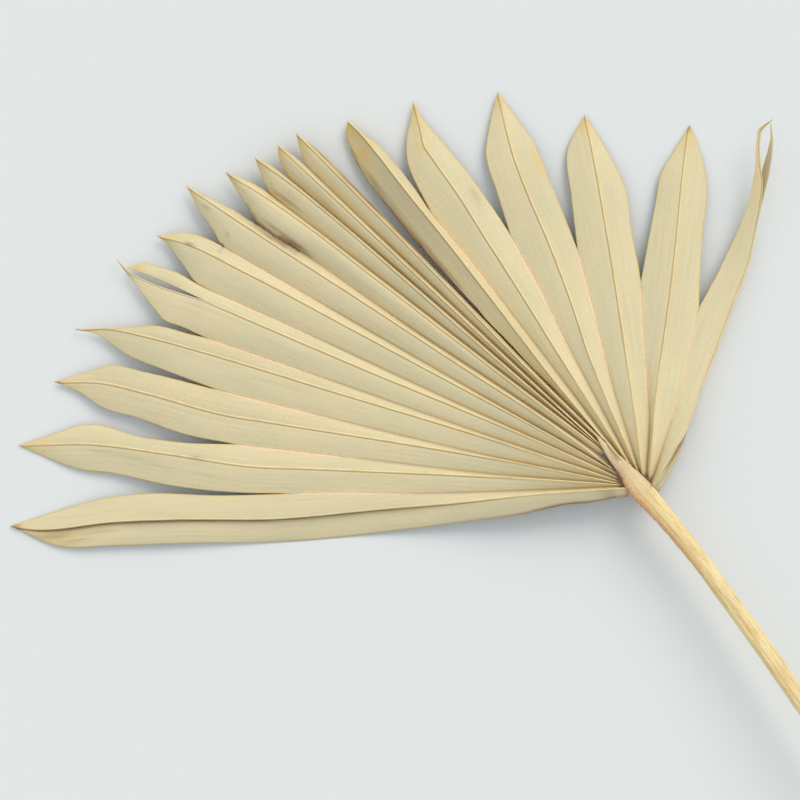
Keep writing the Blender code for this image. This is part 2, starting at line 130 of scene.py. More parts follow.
SEGMENTS = (
    Segment(root=(-6.7, 1.5), pleat=3.2, tip_height=0.6,
            rib=((60.9, 45), (60.7, 80), (60.2, 112), (59.9, 161), (58.7, 205), (58.4, 235),
                 (58.6, 268), (58.1, 281)),
            left=((81, 20), (73.4, 30), (70.1, 54), (68, 70), (65.8, 107), (64, 155), (61.9, 200),
                  (61, 236), (60.4, 260), (58.1, 281)),
            right=((55.9, 185), (55.4, 218), (55.8, 238), (57.3, 266), (58.1, 281))),
    Segment(root=(-5.2, 2.3), pleat=2.0, tip_height=0.7,
            rib=((52.1, 45), (51.6, 145), (51.6, 172), (50.5, 210), (50, 245), (50.6, 277)),
            left=((55.5, 180), (54.6, 205), (53, 236), (52.7, 249), (50.6, 277)),
            right=((49, 205), (48.7, 225), (47.9, 242), (48.1, 249), (49.6, 265), (50.6, 277))),
    Segment(root=(-5.4, 3.3), pleat=1.9, tip_height=2.2,
            rib=((44.6, 45), (44.3, 90), (44.6, 165), (44.6, 186), (43.6, 224), (43.4, 243),
                 (44.2, 264)),
            left=((47.9, 203), (46.6, 225), (46, 241), (44.8, 252), (44.2, 264)),
            right=((41.3, 225), (41.5, 242), (42.4, 249), (43.4, 257), (44.2, 264))),
    Segment(root=(-5.4, 4.8), pleat=2.0, tip_height=2.8,
            rib=((37.1, 60), (37.1, 140), (37.1, 200), (37.3, 228), (37.7, 246), (38.7, 260)),
            left=((40.5, 218), (39.9, 234), (38.6, 250), (38.7, 260)),
            right=((35.5, 209), (35.8, 225), (37.3, 241), (38.7, 260))),
    Segment(root=(-4.5, 6.0), pleat=2.4, tip_height=3.2,
            rib=((30.6, 50), (30.9, 90), (31.1, 126), (31.0, 209)),
            left=((35, 214), (34.8, 224), (33.3, 234), (31.6, 246), (30.7, 253)),
            right=((29.5, 216), (29.3, 225), (29.6, 234), (30, 242), (31, 247)),
            split=(((31.5, 236), (31.3, 246), (30.7, 253)), ((30.8, 236), (31, 247)))),
    Segment(root=(-3.5, 7.5), pleat=3.0, tip_height=3.4,
            rib=((24.3, 45), (25, 90), (25.3, 140), (25.5, 200), (25.8, 227), (26.6, 241)),
            left=((29.2, 218), (28, 226), (27, 234), (26.6, 241)),
            right=((24.2, 220), (24.9, 231), (26.6, 241))),
    Segment(root=(-4.2, 11.1), pleat=3.6, tip_height=4.0,
            rib=((18.4, 45), (19.7, 90), (20.1, 140), (20.4, 205), (20.4, 241)),
            left=((23.8, 215), (23, 220), (22, 229), (20.4, 241)),
            right=((19.5, 203), (19.7, 216), (20.4, 241))),
    Segment(root=(-2.9, 20.0), pleat=4.4, tip_height=5.0,
            rib=((13.3, 45), (14.4, 66), (15.1, 102), (15.5, 150), (15.7, 186), (16.1, 210),
                 (16.7, 230)),
            left=((19.2, 207), (18.5, 212), (17.5, 222), (16.7, 230)),
            right=((15.6, 213), (16.1, 222), (16.7, 230))),
    Segment(root=(-2.2, 20.0), pleat=5.2, tip_height=5.5,
            rib=((10.3, 42), (11.5, 66), (12, 90), (12.3, 140), (12.5, 180), (12.8, 203), (13.3, 224)),
            left=((15.4, 208), (15, 212), (14.2, 218), (13.3, 224)),
            right=((12.7, 214), (13.3, 224))),
    Segment(root=(-2.0, 22.0), pleat=5.4, tip_height=6.0,
            rib=((9, 55), (9.8, 90), (10.1, 126), (10.3, 180), (10.4, 220)),
            left=((12, 212), (11.2, 217), (10.4, 220)),
            right=((10, 210), (10.4, 220))),
    Segment(root=(-0.6, 25.0), pleat=6.0, tip_height=6.0,
            rib=((6.6, 68), (7.1, 90), (7.4, 135), (7.7, 180), (7.9, 218)),
            left=((9.4, 208), (8.6, 214), (7.9, 218)),
            right=((5.6, 68), (6.2, 90), (6.7, 120), (7.1, 170), (7.35, 203), (7.9, 218))),
    Segment(root=(1.5, 12.8), pleat=6.0, tip_height=3.2,
            rib=((1.7, 66), (1.5, 102), (1.6, 138), (1.8, 162), (1.9, 198), (2.2, 207)),
            left=((5.1, 68), (5.7, 90), (5.9, 120), (5.7, 158), (5.2, 182), (4, 198), (3.2, 204),
                  (2.2, 207)),
            right=((0.5, 165), (0.9, 189), (1.7, 199), (2.2, 207))),
    Segment(root=(3.3, 6.4), pleat=3.2, tip_height=2.6,
            rib=((-6.1, 66), (-5.5, 102), (-5.1, 126), (-4.8, 155), (-4.3, 176), (-5.2, 186),
                 (-6.2, 198)),
            left=((-0.6, 173), (-2.5, 184), (-4.5, 191), (-6.2, 198)),
            right=((-9.4, 133), (-8.2, 155), (-6.8, 176), (-6.1, 189), (-6.2, 198))),
    Segment(root=(4.5, 2.3), pleat=2.4, tip_height=2.0,
            rib=((-17.2, 60), (-17.4, 85), (-16.9, 114), (-16.2, 138), (-16.1, 154), (-17.1, 186)),
            left=((-11, 144), (-11.8, 160), (-14.5, 174), (-17.1, 186)),
            right=((-22.5, 112), (-20.8, 140), (-19.5, 163), (-17.9, 177), (-17.1, 186))),
    Segment(root=(5.7, 0.4), pleat=2.2, tip_height=1.4,
            rib=((-35.2, 42), (-32.5, 66), (-31.2, 90), (-30.3, 114), (-29.3, 150), (-28.8, 167)),
            left=((-24, 131), (-25, 152), (-28.8, 167)),
            right=((-38, 95), (-36, 112), (-34.5, 134), (-31, 154), (-28.8, 167))),
    Segment(root=(7.4, -2.4), pleat=2.4, tip_height=0.7,
            rib=((-50.6, 43), (-48.6, 66), (-47.4, 90), (-46.4, 114), (-45.6, 138), (-45.3, 163)),
            left=((-39.4, 102), (-40.9, 127), (-41.4, 139), (-43.6, 152), (-45.3, 163)),
            right=((-54.8, 95), (-52.3, 113), (-49.8, 141), (-46.5, 158), (-45.3, 163))),
    Segment(root=(8.6, -5.0), pleat=4.0, tip_height=14.0,
            rib=((-91, 21), (-80.6, 36), (-75, 45), (-69.5, 66), (-66, 90), (-64.4, 110), (-61.5, 133)),
            left=((-58.4, 104), (-58.6, 135), (-57.4, 151), (-56.1, 162), (-55.8, 169), (-57.2, 174.5)),
            right=((-96, 24), (-87, 30), (-79, 39), (-62.5, 75), (-61.5, 95), (-60.2, 133),
                   (-58.7, 153), (-57.9, 166), (-57, 172.5)),
            split=(((-59.7, 146), (-58, 154), (-56.6, 163), (-56.3, 169), (-57.2, 174.5)),
                   ((-59.8, 153), (-58.3, 166), (-57, 172.5)))),
)

SEAMS = (
    Seam((-6.0, 1.9), ((58.8, 45), (57, 101), (56, 135), (56, 154))),
    Seam((-5.3, 2.8), ((50.6, 68), (49.3, 112), (48.6, 179))),
    Seam((-5.4, 4.1), ((43.6, 68), (42.4, 117), (41.5, 191))),
    Seam((-5.0, 5.4), ((36.2, 68), (35.4, 146), (35.3, 202))),
    Seam((-4.0, 6.8), ((29.8, 90), (29.5, 158), (29.6, 209))),
    Seam((-3.9, 9.3), ((24.1, 90), (24.1, 211))),
    Seam((-3.6, 15.5), ((16.8, 45), (18.6, 90), (19.1, 117), (19.1, 179))),
    Seam((-2.6, 20.5), ((11.9, 45), (14.2, 90), (15, 146), (15.5, 202))),
    Seam((-2.2, 21.0), ((10.9, 74), (11.6, 117), (12.1, 165), (12.5, 205))),
    Seam((-1.3, 23.5), ((8.4, 66), (9.4, 117), (9.9, 180), (9.9, 203))),
    Seam((0.5, 25.0), ((3.2, 42),)),
    Seam((2.4, 9.6), ((-1, 72), (0.1, 124), (0.8, 150))),
    Seam((3.9, 4.4), ((-10.8, 68), (-10.5, 97), (-9.8, 124))),
    Seam((5.1, 1.4), ((-24.7, 41), (-23.2, 90), (-22.8, 107))),
    Seam((6.7, -1.2), ((-52.5, 27), (-45, 43), (-39.8, 72), (-38.5, 90))),
    Seam((9.0, -3.4), ((-69.3, 31), (-64, 50), (-60.7, 59), (-57, 84))),
)

# The two outer edges of the blade, which have no neighbour.
OUTER_LEFT_ROOT = (-9.8, -1.4)
OUTER_RIGHT_ROOT = (9.2, -9.5)
OUTER_NOTCH = 0.75    # share of the reach where an outer edge turns to its tip
# Where each outer edge meets the surface, where it leaves it again, and how far it then rises.
OUTER_LEFT_REST = (142.0, 152.0, 3.0)
OUTER_RIGHT_REST = (64.0, 90.0, 5.0)

# Stalk cross sections in mm: along the leaf from the hub, across, width and depth.
STALK_SECTIONS = (
    (-172, 2.4, 8.6, 7.4), (-120, 3.1, 7.9, 7.0), (-85, 3.8, 7.8, 6.8), (-53, 3.9, 7.8, 6.6),
    (-29, 3.0, 8.2, 6.6), (-13, 1.7, 9.4, 6.6), (-5, 1.0, 10.2, 6.2), (1, 0.7, 9.2, 5.6),
    (6, 0.6, 7.0, 5.0), (11, 0.0, 5.2, 4.2), (17, -0.7, 3.6, 3.2), (22, -0.8, 2.2, 2.4),
    (26, -0.8, 1.0, 1.4),
)


def polar_to_plan(heading, reach):
    """A blade point as (across, along) in mm."""
    angle = math.radians(heading)
    return (-reach * math.sin(angle), reach * math.cos(angle))


def smooth_step(value):
    value = np.clip(value, 0.0, 1.0)
    return value * value * (3.0 - 2.0 * value)


def monotone_curve(knots, values, wanted):
    """Piecewise cubic through the knots that never overshoots them."""
    knots, values = np.asarray(knots, float), np.asarray(values, float)
    steps = np.diff(knots)
    slopes = np.diff(values) / steps
    tangents = np.empty_like(values)
    tangents[0], tangents[-1] = slopes[0], slopes[-1]
    for k in range(1, len(values) - 1):
        before, after = slopes[k - 1], slopes[k]
        if before * after <= 0.0:
            tangents[k] = 0.0
        else:
            weight_a = 2.0 * steps[k] + steps[k - 1]
            weight_b = steps[k] + 2.0 * steps[k - 1]
            tangents[k] = (weight_a + weight_b) / (weight_a / before + weight_b / after)
    span = np.clip(np.searchsorted(knots, wanted) - 1, 0, len(steps) - 1)
    t = (wanted - knots[span]) / steps[span]
    return ((1 + 2 * t) * (1 - t) ** 2 * values[span] + t * (1 - t) ** 2 * steps[span] * tangents[span]
            + t * t * (3 - 2 * t) * values[span + 1]
            + t * t * (t - 1) * steps[span] * tangents[span + 1])


class PlanLine:
    """A line out across the blade, read by reach."""

    def __init__(self, root, points):
        plan = [root] + [polar_to_plan(*point) for point in points]
        self.reaches = [math.hypot(*root)] + [reach for _, reach in points]
        self.across = [p[0] for p in plan]
        self.along = [p[1] for p in plan]

    def at(self, reaches):
        reaches = np.maximum(reaches, self.reaches[0])
        return np.stack([monotone_curve(self.reaches, self.across, reaches),
                         monotone_curve(self.reaches, self.along, reaches)], axis=1)


def valley_height(plan, reaches):
    """Height of the valleys: raised at the hub, settled further out, higher where pleats crowd."""
    heading = np.degrees(np.arctan2(-plan[:, 0], plan[:, 1]))
    crowd = np.exp(-((heading - CROWD_HEADING) / CROWD_SPREAD) ** 2)
    settled = SIDE_VALLEY + CROWD_VALLEY * crowd
    return HUB_HEIGHT + (settled - HUB_HEIGHT) * smooth_step(reaches / SETTLED_REACH)


def edge_lines(index, side):
    """The seam and the free margin that make one edge of a segment, and the reach of its notch."""
    segment = SEGMENTS[index]
    margin = segment.left if side < 0 else segment.right
    neighbour = index - 1 if side < 0 else index
    if 0 <= neighbour < len(SEAMS):
        seam = SEAMS[neighbour]
        notch = seam.line[-1]
        return PlanLine(seam.root, seam.line), PlanLine(polar_to_plan(*notch), margin), notch[1]
    outer = PlanLine(OUTER_LEFT_ROOT if side < 0 else OUTER_RIGHT_ROOT, margin)
    return outer, outer, OUTER_NOTCH * margin[-1][1]


def section_reaches(start, notch, tip):
    """Reaches of the cross sections, closer together towards the tip."""
    joined = np.linspace(start, notch, JOINED_ROWS)
    free = notch + (tip - notch) * np.sin(np.linspace(0, math.pi / 2, FREE_ROWS + 1))[1:]
    return np.concatenate([joined, free])


def first_reach(segment):
    return math.hypot(*segment.root) + 0.3


def half_reaches(index, side):
    """Cross sections of one half. Both halves share them as far as the rib is whole."""
    segment = SEGMENTS[index]
    notch = min(edge_lines(index, -1)[2], edge_lines(index, 1)[2])
    whole_to = segment.rib[-1][1]
    if not segment.split:
        return section_reaches(first_reach(segment), notch, whole_to)
    strip = segment.split[0 if side < 0 else 1]
    whole = np.linspace(first_reach(segment), whole_to, JOINED_ROWS + 3)
    torn = section_reaches(whole_to, 0.5 * (whole_to + strip[-1][1]), strip[-1][1])[1:]
    return np.concatenate([whole, torn])


def flank(index, side, reaches, tip_reach):
    """Plan and height of one edge of a segment, which ends at tip_reach."""
    seam, margin, notch = edge_lines(index, side)
    joined = seam.at(np.minimum(reaches, notch))
    loose = margin.at(np.clip(reaches, notch, margin.reaches[-1]))
    plan = np.where((reaches < notch)[:, None], joined, loose)
    free = smooth_step((reaches - notch) / (tip_reach - notch)) ** 2.2
    if seam is margin:
        settled, lifting, lift = OUTER_LEFT_REST if side < 0 else OUTER_RIGHT_REST
        hanging = (OUTER_VALLEY + (HUB_HEIGHT - OUTER_VALLEY) * (1 - smooth_step(reaches / settled))
                   + lift * smooth_step((reaches - lifting) / 60.0))
    else:
        hanging = valley_height(plan, reaches)
    height = hanging * (1 - free) + SEGMENTS[index].tip_height * free
    return plan, height


def rib_line(index, side, reaches, edge_tip):
    """Plan and height of the rib, or past a split of the torn edge that one half keeps."""
    segment = SEGMENTS[index]
    whole_to = segment.rib[-1][1]
    plan = PlanLine(segment.root, segment.rib).at(np.minimum(reaches, whole_to))
    left, left_height = flank(index, -1, reaches, edge_tip)
    right, right_height = flank(index, 1, reaches, edge_tip)
    widths = np.linalg.norm(left - right, axis=1)
    torn = reaches > whole_to
    widest = widths[~torn].max()
    height = 0.5 * (left_height + right_height) + segment.pleat * np.sqrt(widths / widest)
    height += HUB_PLEAT * (1 - smooth_step(reaches / HUB_PLEAT_REACH)) * smooth_step(widths / 6.0)
    if torn.any():
        strip = PlanLine(polar_to_plan(*segment.rib[-1]), segment.split[0 if side < 0 else 1])
        plan[torn] = strip.at(reaches[torn])
        height[torn] = np.linspace(height[~torn][-1], segment.tip_height, torn.sum() + 1)[1:]
    return plan, height


def stalk_height(along):
    """Height of the stalk's axis: level over the blade, then rising to the cut end."""
    away = max(along / STALK_SECTIONS[0][0], 0.0)
    return AXIS_HEIGHT + (CUT_HEIGHT - AXIS_HEIGHT) * away ** 1.15


def find_hub():
    """The hub's place, from the petiole's box: the last stalk section ends at its high y side, and
    the furthest right side of a section is its high x side."""
    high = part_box("petiole")[1]
    side = max(across + 0.5 * width for _, across, width, _ in STALK_SECTIONS)
    return (high[0] - side * MM, high[1] - STALK_SECTIONS[-1][0] * MM, 0.0)


HUB = find_hub()


# Pieces of the blade
LAMINA = 0.32         # thickness of the visible sheet
OVERLAP = 0.05        # each side of a seam
BEAD_RADIUS = 0.38    # a rib is a raised cord on the fold
BEAD_HEIGHT = 0.40
TUCKED = {1: 5.0, 16: 3.4, 17: 3.0}    # how far a segment runs on under the costa, otherwise:
TUCKED_ELSEWHERE = 2.6
BEAD_STEPS = (0.0, 0.20, 0.34, 0.43, 0.48, 0.64, 0.82, 1.10)
PANEL_COLUMNS = 15
JOINED_ROWS = 44
FREE_ROWS = 40
FAR = 20.0            # distance mark for "not near one"
FURROW_DEPTH = 0.12   # groove beside the rib, on its left side only
FURROW_PLACE = 0.8    # mm from the rib
FURROW_SPREAD = 0.2
VEIN_HEIGHT = 0.02
VEIN_SPACINGS = (2.3, 1.31)    # mm between the coarse veins, and between the fine ones
SHEET_WAVE = 0.16     # slow waving of the whole sheet
# Scales of the waves of the sheet and of a free margin, and of its roughness: each one is about a
# third of its longest wave, in mm.
SHEET_WAVE_SCALE = 31.0
MARGIN_WAVE_SCALE = 26.0
ROUGH_SCALE = 1.7


@dataclass(frozen=True)
class Form:
    """How the two halves of a segment bend, as (left, right)."""

    bulge: tuple = (0.25, 0.25)    # middle of a half over its chord, in mm per 10 mm of width
    ledge: tuple = (0.0, 0.0)      # step down beside the rib, in mm
    trough: tuple = (0.0, 0.0)     # furrow half way to the edge, in mm
    flutter: tuple = (0.25, 0.25)  # waving of the free margin, in mm
    ragged: tuple = (0.06, 0.06)   # roughness of the free margin, in mm
    bead: float = 1.0              # how strongly the rib stands out


FORMS = {
    1: Form(bulge=(0.5, 0.5), ledge=(2.6, 0.0), bead=0.15),
    2: Form(bulge=(0.3, 0.6), bead=0.8),
    3: Form(bulge=(0.4, 0.8)),
    4: Form(bulge=(0.4, 1.0)),
    5: Form(bulge=(0.6, 0.8)),
    6: Form(bulge=(0.8, 0.5)),
    7: Form(bulge=(1.0, 0.4), ragged=(0.12, 0.35)),
    8: Form(bulge=(1.9, 0.4), ragged=(0.35, 0.15)),
    9: Form(bulge=(1.5, 0.4)),
    10: Form(bulge=(2.3, 0.4)),
    11: Form(bulge=(1.4, 0.0), trough=(0.0, 1.4)),
    12: Form(bulge=(-0.7, 0.3), ledge=(0.3, 0.0), ragged=(0.35, 0.08)),
    13: Form(bulge=(0.2, 0.5)),
    17: Form(ragged=(0.15, 0.12), flutter=(0.1, 0.1)),
}

COSTA_LIFT = 1.0        # how far the costa stands above its place in the part
COSTA_POINT_LIFT = 2.4  # the same again at its point, to clear the fold of segment_12
CUT_DROP = 0.25         # how far the cut end is lowered, to keep its ridges inside the part's box

# Loose fibres on torn edges: heading, reach, turn from the heading, length and radius.
LOOSE_FIBRES = (
    (19.4, 182, 2, 5.0, 0.26), (19.5, 188, -3, 5.5, 0.30), (19.6, 195, 3, 5.0, 0.24),
    (24.1, 212, -30, 2.2, 0.22), (24.0, 213, 150, 1.8, 0.20),
)

# How strongly each seam, from left to right, shows a torn orange edge inside its notch.
SEAM_TORN = (0.9, 0.9, 0.9, 0.9, 0.8, 0.5, 0.6, 0.15, 0.1, 0.0, 0.0, 0.8, 1.0, 1.0, 0.9, 0.8)

# Marks on the blade: segment, side (0 for both), reach, distance from the rib, half length, half
# width and strength. A negative distance is taken from the margin instead. Most are stains and torn
# edges; some are painted shade: the crease beside segment_01's rib, the crevice on segment_17's right
# half near the hub, the groove beside segment_11's rib, and a faint wash on the right halves of
# segments 3 and 4, which face the lamp.
BROWN_MARKS = (
    (1, -1, 262, 3.5, 9, 1.2, 0.5), (1, -1, 252, 6.5, 6, 0.7, 0.45), (1, -1, 240, 4, 8, 0.8, 0.3),
    (1, -1, 215, 0.75, 60, 0.40, 0.9), (1, -1, 262, 0.7, 14, 0.4, 0.5), (1, 0, 279, 0.0, 2.5, 2.0, 0.8),
    (11, 1, 170, 1.15, 60, 0.65, 1.0),
    (17, 1, 34, 1.2, 15, 0.5, 1.0), (17, 1, 22, 1.4, 6, 0.6, 0.8),
    (2, -1, 226, 4.0, 9, 0.6, 0.35), (2, -1, 214, 6.0, 7, 0.5, 0.3),
    (2, -1, 190, 7.0, 9, 0.5, 0.25), (2, 0, 196, 0.3, 2.5, 0.7, 0.5), (2, -1, 240, 3.0, 5, 0.5, 0.3),
    (6, 0, 226, 0.2, 2.5, 0.7, 0.7), (7, -1, 228, 3.0, 2.0, 1.0, 0.5), (7, -1, 214, 8.0, 1.5, 1.0, 0.5),
    (7, 1, 196, 1.5, 9, 0.8, 0.6), (8, 0, 229.5, 0, 2.0, 1.0, 0.9), (8, -1, 196, 9.5, 12, 0.7, 0.6),
    (13, 1, 147, 6.2, 4.0, 1.6, 0.28), (12, -1, 178, 9, 7, 1.0, 0.5), (12, -1, 150, 12, 8, 0.8, 0.4),
    (16, 0, 162, 0, 1.6, 1.2, 0.9), (3, 0, 263, 0, 1.8, 1.0, 0.8), (4, 0, 259, 0, 1.4, 1.0, 0.6),
    (14, 0, 185.5, 0, 1.0, 0.8, 0.4), (17, 1, 158, 1.0, 20, 4.0, 0.35), (10, -1, 186, 4.5, 10, 0.8, 0.2),
    (9, -1, 200, 5.0, 3, 3.0, 0.25), (9, -1, 198, -2.6, 9, 0.7, 0.5), (9, -1, 206, -1.4, 5, 1.0, 0.4),
    (8, -1, 193, -0.3, 12, 1.2, 1.0), (8, -1, 186, -0.7, 6, 1.7, 1.0), (8, -1, 203, -0.2, 6, 0.9, 1.0),
    (7, 1, 190, -0.3, 13, 0.9, 1.0), (12, -1, 160, -0.3, 20, 1.5, 1.0),
    (12, -1, 134, -0.4, 18, 1.7, 1.0), (12, -1, 192, -0.3, 8, 0.8, 0.7),
    (12, -1, 150, 4.0, 42, 2.2, 0.06), (12, -1, 160, 8.0, 40, 0.6, 0.3),
    (1, -1, 160, 0.6, 95, 0.35, 0.95), (3, 1, 200, 6, 70, 9, 0.10), (4, 1, 190, 6, 60, 9, 0.12),
    (1, -1, 32, -0.4, 28, 0.8, 1.0), (1, -1, 12, 2.5, 4, 4, 0.5), (17, 1, 30, -2.6, 22, 0.7, 0.9),
)
GOLD_MARKS = (
    (12, 0, 201, 0, 3.5, 6.0, 0.9), (12, -1, 188, 6, 8, 3.0, 0.6), (13, -1, 178, 2.5, 3.0, 3.0, 0.6),
    (14, 1, 150, 9.0, 7, 1.2, 0.8), (14, 0, 181, 0, 6, 3, 0.5), (11, 0, 212, 0, 8, 3, 0.6),
    (13, 0, 190, 0, 9, 4, 0.5), (1, -1, 262, 5, 14, 5, 0.5), (2, 0, 268, 0, 8, 4, 0.5),
    (3, 0, 258, 0, 6, 4, 0.5), (15, 0, 162, 0, 6, 3, 0.5), (16, 0, 157, 0, 6, 3, 0.5),
    (17, 0, 150, 0, 24, 5, 0.4), (17, 1, 36, -0.9, 26, 1.1, 0.9), (10, 0, 222, 0, 8, 3, 0.5),
    (12, 0, 192, 3, 3.0, 9.0, 0.6),
)


def wobble(values, seed, length):
    """Smooth random-looking curve in -1..1, the same on every run."""
    x = np.asarray(values, float) / length
    return (np.sin(2.1 * x + 1.7 * seed) + 0.7 * np.sin(4.7 * x + 3.1 * seed + 1.3)
            + 0.5 * np.sin(9.9 * x + 5.3 * seed + 0.4)) / 2.2


def form_of(index):
    return FORMS.get(index + 1, Form())


def column_distances(run):
    """Distances from the rib in mm, row by row, and how far each row is squeezed. They are close over
    the rib's cord, then wide, and closer again towards the edge."""
    steps = np.array(BEAD_STEPS)
    squeeze = np.minimum(1.0, 0.8 * run / steps[-1])
    cord = squeeze[:, None] * steps
    share = 1 - (1 - np.linspace(0, 1, PANEL_COLUMNS + 1)[1:]) ** 1.2
    panel = cord[:, -1:] + (run[:, None] - cord[:, -1:]) * share
    return np.concatenate([cord, panel], axis=1), squeeze


def half_grid(index, side):
    """One half of a segment as a grid of points in mm, with the marks its material reads."""
    segment, form, hand = SEGMENTS[index], form_of(index), 0 if side < 0 else 1
    reaches = half_reaches(index, side)
    edge_tip = max(segment.left[-1][1], segment.right[-1][1])
    inner, rib_height = rib_line(index, side, reaches, edge_tip)
    outer, edge_height = flank(index, side, reaches, reaches[-1])
    notch = edge_lines(index, side)[2]
    tip = reaches[-1]
    outward = outer - inner
    run = np.maximum(np.linalg.norm(outward, axis=1), 1e-4)
    outward = outward / run[:, None]
    free = smooth_step((reaches - notch) / 6.0)
    tapering = smooth_step((tip - reaches) / 7.0)
    rough = form.ragged[hand] * wobble(reaches, index + 3 * hand, ROUGH_SCALE) * free * tapering
    run = np.maximum(run + OVERLAP * (1 - free) + rough, 1e-4)
    away, squeeze = column_distances(run)
    share = away / run[:, None]
    height = rib_height[:, None] * (1 - share) + edge_height[:, None] * share
    height += form.bulge[hand] * 0.1 * run[:, None] * 4 * share * (1 - share)
    whole_to = segment.rib[-1][1]
    step = form.ledge[hand] * smooth_step((reaches - 55) / 60) * smooth_step((whole_to - reaches) / 22)
    height -= step[:, None] * smooth_step(away / 0.7) * (1 - share) ** 1.4
    if side < 0:
        groove = np.exp(-((away - FURROW_PLACE) / FURROW_SPREAD) ** 2)
        height -= FURROW_DEPTH * squeeze[:, None] * groove
    trough = form.trough[hand] * smooth_step((reaches - 40) / 40) * smooth_step((whole_to - reaches) / 12)
    height -= trough[:, None] * np.exp(-((share - 0.55) / 0.2) ** 2)
    whole = smooth_step((whole_to + 1 - reaches) / 3.0) if segment.split else np.ones_like(reaches)
    near_hub = 1 + 0.6 * (1 - smooth_step(reaches / 80))
    slim = 0.45 + 0.55 * smooth_step((whole_to - reaches) / 30)
    radius = np.maximum(BEAD_RADIUS * squeeze * slim * (0.75 + 0.25 * near_hub), 1e-3)
    cord = np.sqrt(np.clip(1 - (away / radius[:, None]) ** 2, 0, 1))
    height += (form.bead * BEAD_HEIGHT * squeeze * slim * near_hub * whole)[:, None] * cord
    coarse, fine = VEIN_SPACINGS
    veins = (np.sin(2 * math.pi * away / coarse + index)
             + 0.6 * np.sin(2 * math.pi * away / fine + 2.0 * index))
    inside = smooth_step((away - 0.9) / 1.2) * smooth_step((1 - share) * run[:, None] / 1.5)
    height += VEIN_HEIGHT * veins * inside
    waves = form.flutter[hand] * wobble(reaches, 2 * index + hand, MARGIN_WAVE_SCALE) * free * tapering
    height += waves[:, None] * share ** 2
    sheet = SHEET_WAVE * wobble(reaches, index + 0.5, SHEET_WAVE_SCALE) * smooth_step((reaches - 40) / 40)
    height += (sheet * tapering)[:, None] * np.sin(math.pi * share)
    plan = inner[:, None, :] + outward[:, None, :] * away[:, :, None]
    rows = np.repeat(reaches[:, None], away.shape[1], axis=1)
    to_edge = run[:, None] - away
    joined = rows < notch
    marks = {
        "rib": np.where(whole[:, None] > 0.5, away / radius[:, None], FAR),
        "rim": np.where(joined, FAR, to_edge),
        "seam": np.where(joined, to_edge, FAR),
        "inward": np.clip(notch - rows, -FAR, 200.0),
        "torn": np.full_like(rows, torn_share(index, side)),
        "tipward": tip - rows,
        "hubward": rows,
        "brown": painted(BROWN_MARKS, index, side, rows, away, to_edge),
        "gold": painted(GOLD_MARKS, index, side, rows, away, to_edge),
    }
    strand = np.stack([side * away, rows, np.full_like(rows, 7.3 * index)], axis=2)
    grid = np.concatenate([plan, height[:, :, None]], axis=2)
    heading = inner[4] - inner[0]
    heading = np.append(heading / np.linalg.norm(heading), 0.5 if index in (0, 16) else 1.3)
    steps = TUCKED.get(index + 1, TUCKED_ELSEWHERE) * np.array([1.0, 0.66, 0.33])
    tucked = grid[0][None] - steps[:, None, None] * heading
    grid = np.concatenate([tucked, grid])
    strand = np.concatenate([np.repeat(strand[:1], 3, axis=0), strand])
    marks = {name: np.concatenate([np.repeat(values[:1], 3, axis=0), values])
             for name, values in marks.items()}
    return grid, strand, marks


def torn_share(index, side):
    """How strongly the seam on this side shows its torn orange edge."""
    seam = index - 1 if side < 0 else index
    return SEAM_TORN[seam] if 0 <= seam < len(SEAM_TORN) else 0.0


def painted(marks, index, side, rows, away, to_edge):
    """Strength of the marks that lie on this half; a negative distance is taken from the margin."""
    total = np.zeros_like(rows)
    for segment, hand, reach, distance, long, wide, strength in marks:
        if segment != index + 1 or hand not in (0, side):
            continue
        beyond = away - distance if distance >= 0 else to_edge + distance
        spread = ((rows - reach) / long) ** 2 + (beyond / wide) ** 2
        total += strength * np.exp(-spread)
    return np.clip(total, 0, 1)


def write_marks(data, strand, marks):
    data.attributes.new("strand", "FLOAT_VECTOR", "POINT").data.foreach_set("vector", strand.ravel())
    for name, values in marks.items():
        data.attributes.new(name, "FLOAT", "POINT").data.foreach_set("value", values.ravel())


def add_piece(name, data, material, nodes):
    data.materials.append(material)
    piece = bpy.data.objects.new(name, data)
    bpy.context.scene.collection.objects.link(piece)
    piece.location = HUB
    for polygon in data.polygons:
        polygon.use_smooth = True
    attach(piece, "root")
    if nodes:
        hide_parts(*nodes)
    return piece


def make_segment(index, material):
    """Both halves of a segment as one sheet with its own thickness."""
    points, strands, faces, marks, offset = [], [], [], {}, 0
    for side in (-1, 1):
        grid, strand, own = half_grid(index, side)
        rows, columns = grid.shape[:2]
        points.append(grid.reshape(-1, 3))
        strands.append(strand.reshape(-1, 3))
        for key, values in own.items():
            marks.setdefault(key, []).append(values.ravel())
        for r in range(rows - 1):
            for c in range(columns - 1):
                k = offset + r * columns + c
                corners = (k, k + 1, k + columns + 1, k + columns)
                faces.append(corners if side > 0 else corners[::-1])
        offset += rows * columns
    data = bpy.data.meshes.new(f"lamina_{index + 1:02d}")
    data.from_pydata((np.concatenate(points) * MM).tolist(), [], faces)
    write_marks(data, np.concatenate(strands), {k: np.concatenate(v) for k, v in marks.items()})
    mesh = bmesh.new()
    mesh.from_mesh(data)
    bmesh.ops.remove_doubles(mesh, verts=mesh.verts, dist=0.012 * MM)
    bmesh.ops.dissolve_degenerate(mesh, edges=mesh.edges, dist=0.004 * MM)
    mesh.to_mesh(data)
    mesh.free()
    node = f"segment_{index + 1:02d}"
    piece = add_piece(data.name, data, material, [node])
    solid = piece.modifiers.new("lamina", "SOLIDIFY")
    solid.thickness = LAMINA * MM
    solid.offset = -1.0
    return piece


# Stalk
def costa_level(along):
    """Height of the axis, raised a little at the costa so that it stands clear of the segments."""
    return (stalk_height(along) + COSTA_LIFT * smooth_step((along + 2) / 12)
            + COSTA_POINT_LIFT * smooth_step((along - 5) / 8))


def costa_top(along):
    """Height of the costa's upper face."""
    _, _, depth = stalk_frames(along)
    return costa_level(along) + 0.475 * depth


